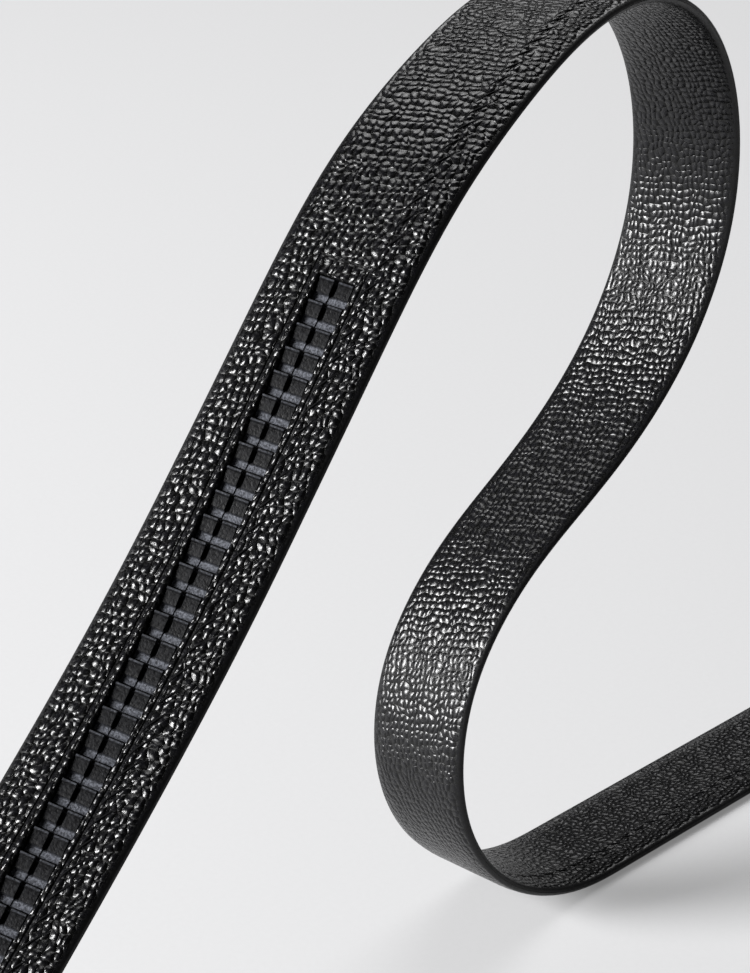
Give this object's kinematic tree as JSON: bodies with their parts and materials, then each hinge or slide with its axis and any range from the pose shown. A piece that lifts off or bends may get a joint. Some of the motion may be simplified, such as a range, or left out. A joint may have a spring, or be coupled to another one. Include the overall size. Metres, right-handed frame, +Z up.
{
  "type": "ratchet belt",
  "caption": "Leather ratchet belt strap with a toothed track in its back and a plain clasp, standing in a free S-shaped curve.",
  "frame": {"origin": "under the middle of the belt's box, on the ground", "axes": "+Z up, +X along the flat run of the strap towards its clasp, -Y towards the strap's near edge"},
  "size_m": [0.831, 0.1502, 0.3002],
  "materials": {
    "leather": "pebbled, semi-gloss black",
    "nylon": "moulded, matte black",
    "black_metal": "satin black"
  },
  "bodies": {
    "root": {"strap": "leather", "ratchet_track": "nylon", "clasp": "black_metal"}
  },
  "joints": []
}
